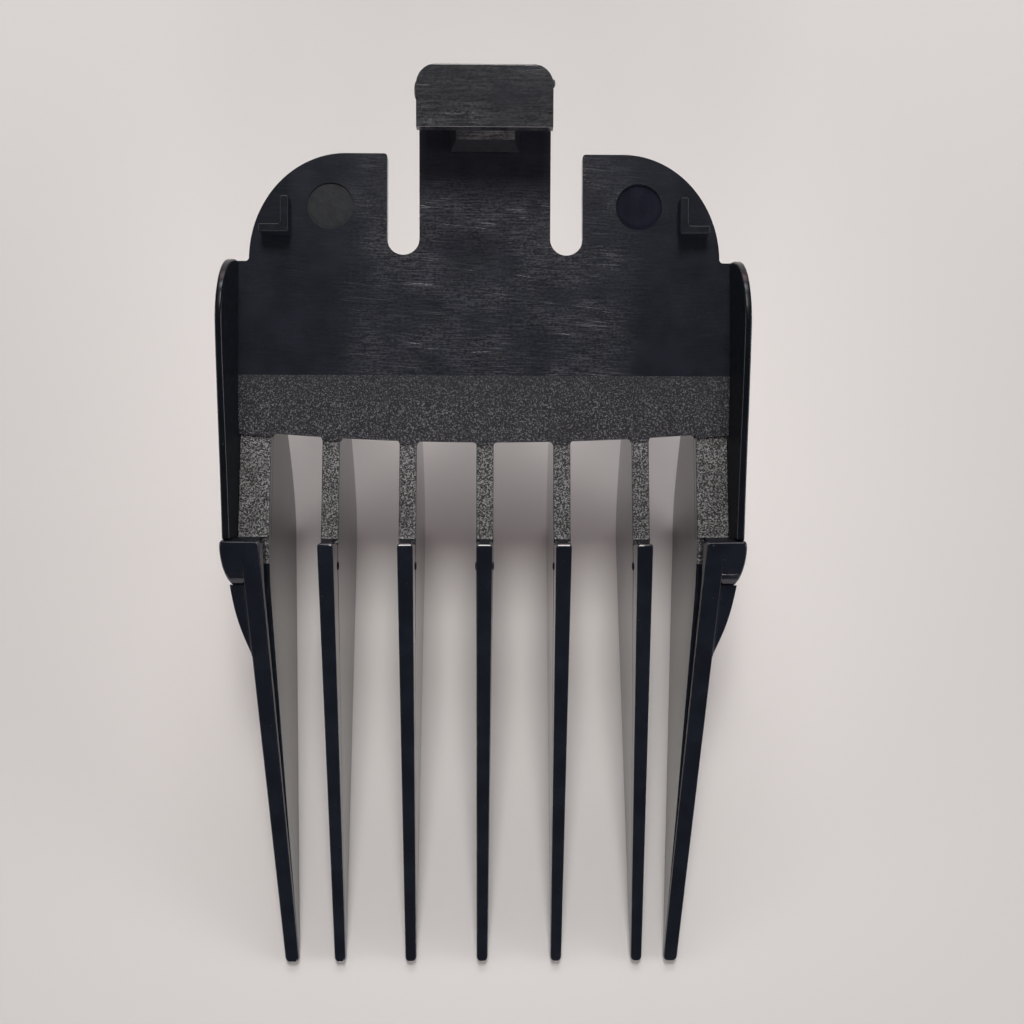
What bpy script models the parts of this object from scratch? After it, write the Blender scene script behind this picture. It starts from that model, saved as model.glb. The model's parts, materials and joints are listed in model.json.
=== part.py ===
"""Clipper guard comb with a rear spring hook.

The comb is drawn in its seat frame, in millimetres: x across the comb, y along it towards the hook,
z up from the face that the clipper's blade lies on, with y = 0 where the blade's edge stops.
The seat frame then tips by REST_TILT, so that the comb stands on its teeth with +Z up.
"""

import math

import bmesh
import bpy
from mathutils import Vector

MM = 0.001  # metres in a millimetre
SEAM = 0.05  # gap between two features of the moulding
LEFT, RIGHT = -1, 1

# Seat plate
PLATE_THICKNESS = 1.3
SEAT_HALF_WIDTH = 23.5  # half the space between the cheeks, for a 46 mm blade
PLATE_REAR_Y = 37.4
LOBE_CENTRE = (13.25, 27.2)
LOBE_RADII = (9.25, 10.2)
CHEEK_REAR_Y = 27.1
PIN_MARK_CENTRE = (14.75, 32.5)
PIN_MARK_RADIUS = 2.08
PIN_MARK_DEPTH = 0.25

# Slots that free the spring tongue
SLOT_CENTRE_X = 7.8
SLOT_RADIUS = 1.55
SLOT_BOTTOM_Y = 27.85
SLOT_MOUTH_CHAMFER = 0.3
HINGE_Y = 28.0
HINGE_GAP = 0.16

# Grained band between the plate and the teeth
BAND_REAR_Y = 16.2
BAND_FRONT_Y = 9.9
BAND_BOW = 0.8  # how far the front edge falls back at BAND_BOW_X
BAND_BOW_X = 20.5
BAND_DROP = 0.6
BAND_ARM_X = 22.76  # inner edge of the arm that fills between an outer tooth and its cheek

# Cheeks: side view of the top edge, from the front through the peak to the rounded rear end
CHEEK_OUTER_X = 24.35
CHEEK_LEAN = 0.2  # inner face opens by this much at the top
CHEEK_FRONT = (1.0, 3.2)
CHEEK_RISE = ((8.0, 4.1), (15.5, 5.8))  # control points between front and peak
CHEEK_PEAK = (20.5, 6.3)

# Finger bosses and their gussets
BOSS_OUTER_X = 24.6
BOSS_REAR_CHAMFER = 0.3
BOSS_ROUND_Y = -1.0  # the outer corner's rounding starts here
BOSS_ROUND_PULL = 1.5
BOSS_FRONT_Y = -3.8
GUSSET_OUTER_X = 23.6
GUSSET_END_Y = -9.65
GUSSET_END_WIDTH = 0.15
GUSSET_BELOW_RIB = 0.3  # its top edge runs this far below the tooth's
GUSSET_END_HEIGHT = 1.5
GUSSET_BOTTOM_Z = -4.5
BOSS_BOTTOM_Z = -3.0

# L-shaped locating ribs: a leg along the comb and a foot that points outwards
LOCATOR_CORNER = (18.5, 29.5)
LOCATOR_LEG_REAR_Y = 32.9
LOCATOR_FOOT_OUTER_X = 21.3
LOCATOR_THICKNESS = 0.75
LOCATOR_HEIGHT = 1.8

# Teeth: where the centre line of each runs, at the step and at the tip
TOOTH_LINES = (
    (-21.75, -19.45),
    (-14.75, -14.6),
    (-7.35, -7.43),
    (0.05, -0.18),
    (7.45, 7.33),
    (15.03, 15.53),
    (21.65, 19.0),
)
STEP_HEIGHT = 3.5
STEP_FOOT_Y = 0.4
STEP_FOOT_Z = 0.3
TIP_Y = -42.6
TIP_TOP_Z = -7.4
TIP_HEIGHT = 0.75
HEEL = (-0.5, -16.0)
BELLY_PULL = 5.0  # how far the skin edge's direction carries on into the belly
BELLY_SHOULDER = (12.0, -10.5)  # the belly curve's rear control point
FIN_REAR_Y = 21.0
FIN_HALF_THICKNESS = 0.83
FIN_HALF_AT_TIP = 0.57
RIB_HALF_AT_STEP = 0.73
RIB_HALF_AT_TIP = 0.54
LEDGE_START = (-1.8, 0.2)
LEDGE_KNEE = (-27.0, -4.4)
OUTER_THICKER = 0.12  # an outer tooth is this much thicker on each side
OUTER_INWARD = 0.3  # and stands this much further inward below its ledge
LEDGE_STEP = 0.02  # height over which the ledge widens the fin
LEDGE_MARGIN = 0.1  # least height of rib above the ledge and of fin below it
FACE_RUN = 0.02  # length over which an upright face of a tooth changes height
FIN_END_HEIGHT = 0.3  # height left at the fin's rear end, under the plate

# Hook and pad at the tongue's end
TONGUE_HALF_WIDTH = 6.3
HOOK_REAR_Y = 44.2
HOOK_CORNER_RADIUS = 1.9
HOOK_WALL = 1.2
LIP_FRONT_Y = 38.4
LIP_TOP_Z = 5.0
PAD_HALF_WIDTH = 3.35
PAD_FRONT_Y = 37.6
PAD_REAR_Y = 41.0
PAD_HEIGHT = 1.5
PAD_SLOPE = 0.7  # how far each of its sides leans in

TIP_BOTTOM = (TIP_Y, TIP_TOP_Z - TIP_HEIGHT)
REST_TILT = math.atan2(TIP_BOTTOM[1] - HEEL[1], HEEL[0] - TIP_BOTTOM[0])  # lays the skin edge flat


# ---------------------------------------------------------------- shapes


def arc(centre, radii, start_deg, end_deg, steps):
    """Points along an ellipse's arc, both ends included."""
    points = []
    for i in range(steps + 1):
        angle = math.radians(start_deg + (end_deg - start_deg) * i / steps)
        x = centre[0] + radii[0] * math.cos(angle)
        y = centre[1] + radii[1] * math.sin(angle)
        points.append((x, y))
    return points


def bezier(p0, p1, p2, p3, steps):
    """Points along a cubic curve, both ends included."""
    points = []
    for i in range(steps + 1):
        t = i / steps
        weights = ((1 - t) ** 3, 3 * (1 - t) ** 2 * t, 3 * (1 - t) * t**2, t**3)
        weighted = list(zip(weights, (p0, p1, p2, p3)))
        points.append(tuple(sum(w * p[axis] for w, p in weighted) for axis in (0, 1)))
    return points


def mirrored(half):
    """A closed outline from its right half, listed from the front to the rear."""
    return half + [(-x, y) for x, y in reversed(half)]


def prism(corners, offset):
    """A closed solid: a flat polygon of 3-D corners, swept by offset."""
    bm = bmesh.new()
    face = bm.faces.new([bm.verts.new(corner) for corner in corners])
    swept = bmesh.ops.extrude_face_region(bm, geom=[face])["geom"]
    moved = [item for item in swept if isinstance(item, bmesh.types.BMVert)]
    bmesh.ops.translate(bm, verts=moved, vec=offset)
    bmesh.ops.recalc_face_normals(bm, faces=bm.faces)
    return bm


def plan_prism(outline, low, high):
    """An outline in x and y, standing from z = low to z = high."""
    return prism([(x, y, low) for x, y in outline], (0, 0, high - low))


def side_prism(profile, start_x, end_x):
    """A profile in y and z, running from x = start_x to x = end_x."""
    return prism([(start_x, y, z) for y, z in profile], (end_x - start_x, 0, 0))


def loft(rings):
    """A closed solid through a row of rings that have equally many points."""
    bm = bmesh.new()
    rows = [[bm.verts.new(point) for point in ring] for ring in rings]
    for near, far in zip(rows, rows[1:]):
        for i in range(len(near)):
            j = (i + 1) % len(near)
            bm.faces.new((near[i], near[j], far[j], far[i]))
    bm.faces.new(reversed(rows[0]))
    bm.faces.new(rows[-1])
    bmesh.ops.recalc_face_normals(bm, faces=bm.faces)
    return bm


# ---------------------------------------------------------------- scene


def plastic(name, roughness):
    """Black moulded polypropylene."""
    material = bpy.data.materials.new(name)
    material.use_nodes = True
    shader = material.node_tree.nodes["Principled BSDF"]
    shader.inputs["Base Color"].default_value = (0.012, 0.012, 0.014, 1)
    shader.inputs["Roughness"].default_value = roughness
    shader.inputs["Metallic"].default_value = 0
    return material


def add_piece(name, bm, parent, roughness=0.38):
    """Turns a shape in seat-frame millimetres into an object under its parent empty."""
    origin = Vector((0, 0, 0))
    empty = parent
    while empty.parent:
        origin += empty.location
        empty = empty.parent
    bmesh.ops.scale(bm, verts=bm.verts, vec=(MM, MM, MM))
    bmesh.ops.translate(bm, verts=bm.verts, vec=-origin)
    mesh = bpy.data.meshes.new(name)
    bm.to_mesh(mesh)
    bm.free()
    mesh.shade_smooth()
    mesh.set_sharp_from_angle(angle=math.radians(30))
    mesh.materials.append(plastic(name, roughness))
    piece = bpy.data.objects.new(name, mesh)
    piece.parent = parent
    bpy.context.scene.collection.objects.link(piece)
    return piece


def add_empty(name, location, parent=None):
    empty = bpy.data.objects.new(name, None)
    empty.location = location
    empty.parent = parent
    bpy.context.scene.collection.objects.link(empty)
    return empty


def add_cutter(name, bm, target, parent):
    """A hidden shape that a Boolean takes out of target."""
    cutter = add_piece(name, bm, parent)
    cutter.hide_render = True
    cutter.display_type = "WIRE"
    cut = target.modifiers.new(name, "BOOLEAN")
    cut.operation = "DIFFERENCE"
    cut.solver = "EXACT"
    cut.object = cutter


def side_name(name, side):
    return f"{name}_{'left' if side == LEFT else 'right'}"


# ---------------------------------------------------------------- plate and band


def slot_arc(from_deg, to_y, steps):
    """Along a slot's round bottom, from an angle to the level y = to_y on the tongue's side."""
    centre = (SLOT_CENTRE_X, SLOT_BOTTOM_Y + SLOT_RADIUS)
    below_centre = math.degrees(math.asin((centre[1] - to_y) / SLOT_RADIUS))
    return arc(centre, (SLOT_RADIUS, SLOT_RADIUS), from_deg, below_centre - 180, steps)


def add_base_plate(frame):
    """The blade's seat: two rear lobes, two slots, and the round marks of the ejector pins."""
    slot_outer_x = SLOT_CENTRE_X + SLOT_RADIUS
    side_x = SEAT_HALF_WIDTH - SEAM
    half = [(side_x, BAND_REAR_Y + SEAM), (side_x, CHEEK_REAR_Y)]
    half += arc(LOBE_CENTRE, LOBE_RADII, 0, 90, 20)
    half += [(slot_outer_x + SLOT_MOUTH_CHAMFER, PLATE_REAR_Y)]
    half += [(slot_outer_x, PLATE_REAR_Y - SLOT_MOUTH_CHAMFER)]
    half += slot_arc(0, HINGE_Y - HINGE_GAP / 2, 12)
    body = plan_prism(mirrored(half), -PLATE_THICKNESS, 0)
    plate = add_piece("base_plate", body, frame)
    for side in (LEFT, RIGHT):
        centre = (side * PIN_MARK_CENTRE[0], PIN_MARK_CENTRE[1])
        circle = arc(centre, (PIN_MARK_RADIUS, PIN_MARK_RADIUS), 0, 360, 24)[:-1]
        mark = plan_prism(circle, -PIN_MARK_DEPTH, PLATE_THICKNESS)
        add_cutter(side_name("pin_mark_cutter", side), mark, plate, frame)


def band_front_y(x):
    """The band's bowed front edge."""
    return BAND_FRONT_Y + BAND_BOW * (x / BAND_BOW_X) ** 2


def band_top_z(y):
    """Height of the grained surface: down across the band, then up to the foot of the step."""
    if y > BAND_FRONT_Y:
        return -BAND_DROP * (BAND_REAR_Y - y) / (BAND_REAR_Y - BAND_FRONT_Y)
    rise = STEP_FOOT_Z + BAND_DROP
    return -BAND_DROP + rise * (BAND_FRONT_Y - y) / (BAND_FRONT_Y - STEP_FOOT_Y)


def add_blend_band(frame):
    """The grained strip at the teeth's root, with an arm along each cheek to the step."""
    outer_x = SEAT_HALF_WIDTH - SEAM
    arm_end_y = STEP_FOOT_Y + SEAM
    steps = 12
    edge = [BAND_ARM_X * i / steps for i in range(1, steps + 1)]
    half = [(x, band_front_y(x)) for x in edge]
    half += [(BAND_ARM_X, arm_end_y), (outer_x, arm_end_y), (outer_x, BAND_REAR_Y)]
    bm = plan_prism([(0, BAND_FRONT_Y)] + mirrored(half), -PLATE_THICKNESS, 0)
    everything = bm.verts[:] + bm.edges[:] + bm.faces[:]
    bmesh.ops.bisect_plane(
        bm, geom=everything, plane_co=(0, BAND_FRONT_Y, 0), plane_no=(0, 1, 0)
    )
    for vert in bm.verts:
        vert.co.z += band_top_z(vert.co.y)
    bmesh.ops.triangulate(bm, faces=bm.faces)
    add_piece("blend_band", bm, frame, roughness=0.62)


# ---------------------------------------------------------------- cheeks, bosses, ribs


def add_cheek(frame, side):
    """A side wall that centres the blade, with a rounded rear end."""
    peak_y, peak_z = CHEEK_PEAK
    profile = [(CHEEK_FRONT[0], -PLATE_THICKNESS)]
    profile += bezier(CHEEK_FRONT, *CHEEK_RISE, CHEEK_PEAK, 8)[:-1]
    profile += arc((peak_y, 0), (CHEEK_REAR_Y - peak_y, peak_z), 90, 0, 14)
    profile += [(CHEEK_REAR_Y, -PLATE_THICKNESS)]
    bm = side_prism(profile, side * SEAT_HALF_WIDTH, side * CHEEK_OUTER_X)
    for vert in bm.verts:
        if abs(vert.co.x) < SEAT_HALF_WIDTH + SEAM:
            vert.co.x += side * CHEEK_LEAN * max(vert.co.z, 0) / peak_z
    add_piece(side_name("cheek", side), bm, frame)


def add_finger_boss(frame, side):
    """The thick end of a cheek, level with the teeth's step."""
    inner_x = outer_side_x(0, side) + SEAM
    rear_y = CHEEK_FRONT[0] - SEAM
    outline = [(inner_x, 0), (SEAT_HALF_WIDTH - SEAM, 0), (SEAT_HALF_WIDTH, rear_y)]
    outline += [(BOSS_OUTER_X - BOSS_REAR_CHAMFER, rear_y)]
    outline += [(BOSS_OUTER_X, rear_y - BOSS_REAR_CHAMFER)]
    outline += bezier(
        (BOSS_OUTER_X, BOSS_ROUND_Y),
        (BOSS_OUTER_X, BOSS_ROUND_Y - BOSS_ROUND_PULL),
        (GUSSET_OUTER_X + BOSS_ROUND_PULL / 3, BOSS_FRONT_Y + BOSS_ROUND_PULL / 2),
        (GUSSET_OUTER_X, BOSS_FRONT_Y),
        8,
    )
    outline += [(inner_x, BOSS_FRONT_Y)]
    bm = plan_prism([(side * x, y) for x, y in outline], BOSS_BOTTOM_Z, STEP_HEIGHT)
    add_piece(side_name("finger_boss", side), bm, frame)


def add_gusset(frame, side):
    """The web that carries a boss's load into the outer tooth."""
    start_y = BOSS_FRONT_Y - SEAM
    steps = 8
    rings = []
    for i in range(steps + 1):
        share = i / steps
        y = start_y + (GUSSET_END_Y - start_y) * share
        inner = SEAM + outer_side_x(y, side)
        start_width = GUSSET_OUTER_X - outer_side_x(start_y, side)
        outer = inner + start_width + (GUSSET_END_WIDTH - start_width) * share
        top = tooth_top_z(y) - GUSSET_BELOW_RIB
        end_bottom = top - GUSSET_END_HEIGHT
        bottom = GUSSET_BOTTOM_Z + (end_bottom - GUSSET_BOTTOM_Z) * share**2
        corners = ((inner, bottom), (outer, bottom), (outer, top), (inner, top))
        rings.append([(side * x, y, z) for x, z in corners])
    add_piece(side_name("gusset", side), loft(rings), frame)


def add_locating_rib(frame, side):
    """An L rib that holds a rear corner of the blade."""
    x, y = LOCATOR_CORNER
    thick = LOCATOR_THICKNESS
    outline = [(x, y), (LOCATOR_FOOT_OUTER_X, y), (LOCATOR_FOOT_OUTER_X, y + thick)]
    outline += [(x + thick, y + thick), (x + thick, LOCATOR_LEG_REAR_Y)]
    outline += [(x, LOCATOR_LEG_REAR_Y)]
    outline = [(side * px, py) for px, py in outline]
    bm = plan_prism(outline, SEAM, LOCATOR_HEIGHT)
    add_piece(side_name("locating_rib", side), bm, frame)


# ---------------------------------------------------------------- teeth


def between(y, start, end):
    """The height at y on the straight line from start to end."""
    return start[1] + (end[1] - start[1]) * (y - start[0]) / (end[0] - start[0])


def tooth_top_z(y):
    """Height of a tooth's top: rib, step, grained top, then the underside of band and plate."""
    if y <= 0:
        return between(y, (TIP_Y, TIP_TOP_Z), (0, STEP_HEIGHT))
    if y <= STEP_FOOT_Y:
        return between(y, (0, STEP_HEIGHT), (STEP_FOOT_Y, STEP_FOOT_Z))
    return band_top_z(y)


def ledge_z(y):
    """Height of the parting line along a tooth's sides."""
    if y >= LEDGE_START[0]:
        return LEDGE_START[1]
    if y >= LEDGE_KNEE[0]:
        return between(y, LEDGE_KNEE, LEDGE_START)
    return between(y, (TIP_Y, TIP_TOP_Z - TIP_HEIGHT / 2), LEDGE_KNEE)


def belly():
    """The skin edge from the tip to the heel, and the curve from there up to the plate."""
    plate_end = (FIN_REAR_Y, -PLATE_THICKNESS - 3 * SEAM)
    pull = (HEEL[0] + BELLY_PULL, HEEL[1] - BELLY_PULL * math.tan(REST_TILT))
    knee = (LEDGE_KNEE[0], between(LEDGE_KNEE[0], TIP_BOTTOM, HEEL))
    return [TIP_BOTTOM, knee] + bezier(HEEL, pull, BELLY_SHOULDER, plate_end, 16)


def tooth_faces(y, index):
    """Where a tooth's sides are at y: (fin left, fin right, rib left, rib right)."""
    root_x, tip_x = TOOTH_LINES[index]
    taper = max(0, -y) / -TIP_Y
    middle = root_x + (tip_x - root_x) * taper
    rib_half = RIB_HALF_AT_STEP + (RIB_HALF_AT_TIP - RIB_HALF_AT_STEP) * taper
    fin_half = FIN_HALF_THICKNESS + (FIN_HALF_AT_TIP - FIN_HALF_THICKNESS) * taper
    left, right = -fin_half, fin_half
    if index in (0, len(TOOTH_LINES) - 1):
        rib_half += OUTER_THICKER
        left -= OUTER_THICKER
        right += OUTER_THICKER
        inward = OUTER_INWARD * (1 - taper)
        left -= inward if root_x > 0 else 0
        right += inward if root_x < 0 else 0
    return middle + left, middle + right, middle - rib_half, middle + rib_half


def outer_side_x(y, side):
    """Distance from the middle of the comb to the outward face of that side's outer tooth."""
    if side == LEFT:
        return -tooth_faces(y, 0)[0]
    return tooth_faces(y, len(TOOTH_LINES) - 1)[1]


def tooth_ring(y, bottom, top, index):
    """A tooth's cross-section at y: a narrow rib over a wider fin, with a ledge between."""
    left, right, rib_left, rib_right = tooth_faces(y, index)
    ledge = min(max(ledge_z(y), bottom + LEDGE_MARGIN), top - LEDGE_MARGIN)
    if y > STEP_FOOT_Y:
        rib_left, rib_right = left, right
    return [
        (left, y, bottom),
        (right, y, bottom),
        (right, y, ledge - LEDGE_STEP),
        (rib_right, y, ledge),
        (rib_right, y, top),
        (rib_left, y, top),
        (rib_left, y, ledge),
        (left, y, ledge - LEDGE_STEP),
    ]


def bottom_z(y):
    """Height of the skin edge or belly at y."""
    curve = belly()
    for start, end in zip(curve, curve[1:]):
        if y <= end[0]:
            return between(y, start, end)
    return curve[-1][1]


def add_tooth(frame, index):
    """A deep fin: its foot lies under the plate, and its rib runs from the step to the tip."""
    shoulder_y = band_front_y(TOOTH_LINES[index][0]) - 4 * SEAM
    stations = [y for y, _ in belly()]
    stations += [LEDGE_START[0], 0, STEP_FOOT_Y, STEP_FOOT_Y + FACE_RUN]
    stations += [shoulder_y, shoulder_y + FACE_RUN, BAND_REAR_Y]
    rings = []
    for y in sorted(stations):
        top = tooth_top_z(y)
        if y > shoulder_y:
            top = band_top_z(min(y, BAND_REAR_Y)) - PLATE_THICKNESS - SEAM
        bottom = min(bottom_z(y), top - FIN_END_HEIGHT)
        rings.append(tooth_ring(y, bottom, top, index))
    add_piece(f"tooth_{index + 1}", loft(rings), frame)


# ---------------------------------------------------------------- spring latch


def hook_corner(start_deg):
    """The rounded rear corner of tongue, riser and lip."""
    radius = HOOK_CORNER_RADIUS
    centre = (TONGUE_HALF_WIDTH - radius, HOOK_REAR_Y - radius)
    return arc(centre, (radius, radius), start_deg, 90, 10)


def add_spring_tongue(hinge):
    """The strip between the slots. It bends at its root, on the hinge line."""
    half = list(reversed(slot_arc(-180, HINGE_Y + HINGE_GAP / 2, 8))) + hook_corner(0)
    bm = plan_prism(mirrored(half), -PLATE_THICKNESS, 0)
    add_piece("spring_tongue", bm, hinge)


def add_latch_hook(hinge):
    """The riser at the tongue's end and the lip that folds back over the blade."""
    rise_into_corner = (HOOK_CORNER_RADIUS - HOOK_WALL) / HOOK_CORNER_RADIUS
    riser_plan = mirrored(hook_corner(math.degrees(math.asin(rise_into_corner))))
    lip_bottom = LIP_TOP_Z - HOOK_WALL
    riser = plan_prism(riser_plan, SEAM, lip_bottom - SEAM)
    add_piece("latch_riser", riser, hinge)
    lip_plan = mirrored([(TONGUE_HALF_WIDTH, LIP_FRONT_Y)] + hook_corner(0))
    add_piece("latch_lip", plan_prism(lip_plan, lip_bottom, LIP_TOP_Z), hinge)


def add_latch_pad(hinge):
    """The wedge under the lip's edge that presses the blade up against it."""
    bottom = [(-PAD_HALF_WIDTH, PAD_FRONT_Y), (PAD_HALF_WIDTH, PAD_FRONT_Y)]
    bottom += [(PAD_HALF_WIDTH, PAD_REAR_Y), (-PAD_HALF_WIDTH, PAD_REAR_Y)]
    middle_y = (PAD_FRONT_Y + PAD_REAR_Y) / 2
    top = []
    for x, y in bottom:
        toward_middle = PAD_SLOPE if y < middle_y else -PAD_SLOPE
        top.append((x - math.copysign(PAD_SLOPE, x), y + toward_middle))
    rings = [[(x, y, SEAM) for x, y in bottom], [(x, y, PAD_HEIGHT) for x, y in top]]
    add_piece("latch_pad", loft(rings), hinge)


# ---------------------------------------------------------------- assembly


def set_down(frame):
    """Moves the frame so that the comb's lowest point is at Z = 0 and its box is centred."""
    bpy.context.view_layer.update()
    corners = []
    for piece in bpy.data.objects:
        if piece.type == "MESH" and not piece.hide_render:
            corners += [piece.matrix_world @ vert.co for vert in piece.data.vertices]
    low = [min(corner[axis] for corner in corners) for axis in range(3)]
    high = [max(corner[axis] for corner in corners) for axis in range(3)]
    frame.location.x -= (low[0] + high[0]) / 2
    frame.location.y -= (low[1] + high[1]) / 2
    frame.location.z -= low[2]
    bpy.context.view_layer.update()


def main():
    for leftover in list(bpy.data.objects):
        bpy.data.objects.remove(leftover)
    frame = add_empty("seat_frame", (0, 0, 0))
    frame.rotation_euler = (REST_TILT, 0, 0)
    hinge_at = (0, HINGE_Y * MM, -PLATE_THICKNESS / 2 * MM)
    hinge = add_empty("tongue_hinge", hinge_at, frame)

    add_base_plate(frame)
    add_blend_band(frame)
    for side in (LEFT, RIGHT):
        add_cheek(frame, side)
        add_finger_boss(frame, side)
        add_gusset(frame, side)
        add_locating_rib(frame, side)
    for index in range(len(TOOTH_LINES)):
        add_tooth(frame, index)

    add_spring_tongue(hinge)
    add_latch_hook(hinge)
    add_latch_pad(hinge)
    set_down(frame)
    print("hinge at", tuple(round(c, 6) for c in hinge.matrix_world.translation))
    print("seat frame at", tuple(round(c, 6) for c in frame.matrix_world.translation))
    print("tilt in degrees", round(math.degrees(REST_TILT), 4))


main()
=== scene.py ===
"""The looks of the clipper guard comb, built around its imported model.

Everything is drawn in the comb's seat frame, in millimetres: x across the comb, v along it towards the
hook, w up from the face that the clipper's blade lies on, with v = 0 where the blade's edge stops.
The record's blade_seat mount says how the seat frame lies in the row frame.
"""

import json
import math

import bmesh
import bpy
from mathutils import Euler, Matrix, Vector


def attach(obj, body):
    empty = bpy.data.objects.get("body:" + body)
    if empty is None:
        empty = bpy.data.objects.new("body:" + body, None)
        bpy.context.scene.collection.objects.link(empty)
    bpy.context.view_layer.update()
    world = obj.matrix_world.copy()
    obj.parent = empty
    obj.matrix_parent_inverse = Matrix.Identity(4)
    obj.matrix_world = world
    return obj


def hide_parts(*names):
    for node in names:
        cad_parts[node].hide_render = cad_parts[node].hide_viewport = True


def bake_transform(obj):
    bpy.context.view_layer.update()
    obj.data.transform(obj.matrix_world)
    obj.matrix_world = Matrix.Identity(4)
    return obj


MM = 0.001  # metres in a millimetre
LEFT, RIGHT = -1, 1

# The blade_seat mount lies this far behind the line where the blade stops
SEAT_MOUNT_V = 22.0

# Seat plate and band
SEAT_HALF_WIDTH = 23.5
LOBE_CENTRE = (13.25, 27.2)
LOBE_RADII = (9.25, 10.2)
SHOULDER_FILLET = 0.35  # where a lobe's side meets the rear end of a cheek
SHOULDER_INSET = 0.05  # how far in front of a cheek's rear end that shoulder lies
PIN_MARK_CENTRE = (14.75, 32.38)
PIN_MARK_RADIUS = 2.22
PIN_MARK_DEPTH = 0.25
PIN_MARK_LEFT_SHARE = 0.6  # how deep the left mark is, as a share of the right one
SLOT_CENTRE_X = 7.8
SLOT_RADIUS = 1.55
SLOT_BOTTOM_V = 27.72
SLOT_MOUTH_RADIUS = 0.3
BAND_FRONT_V = 9.9
BAND_BOW = 0.8
BAND_BOW_X = 20.5
BAND_DROP = 0.6
FRONT_FILLET = 0.35  # between the band's front edge and a tooth's side
FIN_TOP_DROP = 0.22  # how far a tooth's top starts below the band's front edge
INTO_WALL = 0.1  # how far one feature runs into the next

# Cheeks
CHEEK_LEAN = 0.2
CHEEK_RISE = ((8.0, 4.1), (15.5, 5.8))
CHEEK_PEAK_V = 20.5
CHEEK_FRONT = (0.5, 3.15)
CHEEK_UNDER = 0.03  # how far a cheek reaches below the plate's underside
CHEEK_EDGE_RADIUS = 0.2

# Teeth; places are (v, w)
INNER_STEP_V = 0.2  # where the steps' top edges stand
OUTER_STEP_V = 0.38
STEP_EDGE_RADIUS = 0.3
STEP_FOOT = (0.34, 0.3)  # how far behind the step's top edge its foot is, and how high
HEEL = (-0.5, -16.0)
BELLY_PULL = 5.0  # how far past the heel the skin edge's line still pulls the curve
BELLY_SHOULDER = (12.0, -10.5)
LEDGE_START = (-1.8, 0.26)
LEDGE_KNEE = (-27.0, -4.4)
LEDGE_DROP = 0.02  # how far a ledge falls away from the rib
FIN_LEAST = 0.15  # height that a fin keeps below its ledge
RIB_LEAST = 0.12  # and a rib above it
TOOTH_LEAST = 0.35  # height that a tooth keeps at its rear end
RIB_EDGE_RADIUS = 0.14
FIN_EDGE_RADIUS = 0.3
LEDGE_EDGE_RADIUS = 0.05
RIB_DRAFT = 0.07  # how much further out a rib's side is at the ledge
OUTER_LEDGE = ((-27.0, 0.3), (-4.0, 0.55), (-1.8, 0.0))  # (v, how much higher on the outer teeth)
STEP_CORNER_RADIUS = 0.28
TIP_NOSE_RADIUS = 0.5
TIP_NARROWING = 0.65  # share of the nose's inset by which a tip's sides draw in
TIP_LIFT = 0.5  # share by which its skin edge lifts
INSIDE_CAD = 0.01  # how far a tooth's end stays inside its CAD box
NUB_SIZE = (0.09, 0.42, 0.16)  # half sizes of the flash nubs where the grain ends

# Finger bosses and gussets; the curves run in (v, x) from front to rear
BOSS_FRONT_CURVE = ((-3.85, 23.6), (-3.75, 24.0), (-1.9, 24.57), (-0.3, 24.59))
BOSS_REAR_CURVE = ((-0.3, 24.59), (0.2, 24.59), (0.55, 24.5), (0.75, 24.3))
# (v, drop) below the line of the rib
BOSS_FALL = ((-1.4, 0), (-2.1, 0.05), (-2.7, 0.2), (-3.2, 0.45), (-3.6, 0.85), (-3.85, 1.3))
BOSS_BOTTOM_W = -3.0
BOSS_FOOT_W = 0.5
BOSS_INTO_RIB = 0.4
BOSS_UNDER_RADIUS = 0.25
BOSS_TOP_RADIUS = 0.3
GUSSET_START_X = 23.95
GUSSET_BULGE = 0.3  # how far its outer face stands outside a straight line
GUSSET_END_V = -10.6
GUSSET_BOTTOM_W = -4.5
GUSSET_END_WIDTH = 0.1
GUSSET_END_HEIGHT = 1.2
GUSSET_DROP = 1.0  # its top lies this far below the rib's
GUSSET_FILLET_DROP = 0.3  # and the fillet at the rib starts this far below
GUSSET_FILLET_WIDTH = 0.24
GUSSET_STEPS = 20

LOCATING_RIB_THICK = 0.75

# Hook
TONGUE_HALF_WIDTH = 6.3
HALF_ROOT_GAP = 0.08  # half the gap that the CAD model leaves at the tongue's root
BEND_SLICE = 0.5  # between the cuts across the tongue, close enough together for a smooth bend
BEND_CUTS = 15
HOOK_CORNER_RADIUS = 1.9
HOOK_WALL = 1.2
HOOK_HEEL_RADIUS = 0.5
HOOK_INNER_RADIUS = 0.35
LIP_EDGE_RADIUS = 0.14
LIP_FRONT_RADIUS = 0.06
PAD_SLOPE_FRONT = 0.7
PAD_SLOPE_SIDES = (0.6, 0.5)
FLASH = ((LEFT, 41.9, 0.85), (RIGHT, 42.6, 0.4))  # side, v and half length
FLASH_HEIGHT = 0.2
FLASH_THICK = 0.35

SPOT_RADIUS = 0.13  # of the spots that are drawn out into scratches, in a cell one unit wide
EDGE_RADIUS = 0.12  # on the moulding's outer edges
ARC_STEPS = 5
SHARP_DEG = 50  # faces that meet at a larger angle are shaded apart
HAIR = 0.004  # too small to see: keeps two points apart
STEEP = 0.9  # a face looks along an axis when its normal has more than this share of it

# Camera: place in seat-frame millimetres, small turns about its own axes, and lens
CAMERA_AT = (0.861, 3.211, 115.5)
CAMERA_TURN_DEG = (0.03, 0.888, -0.126)
SENSOR_MM = 36.0
LENS_MM = 42.43

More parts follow.
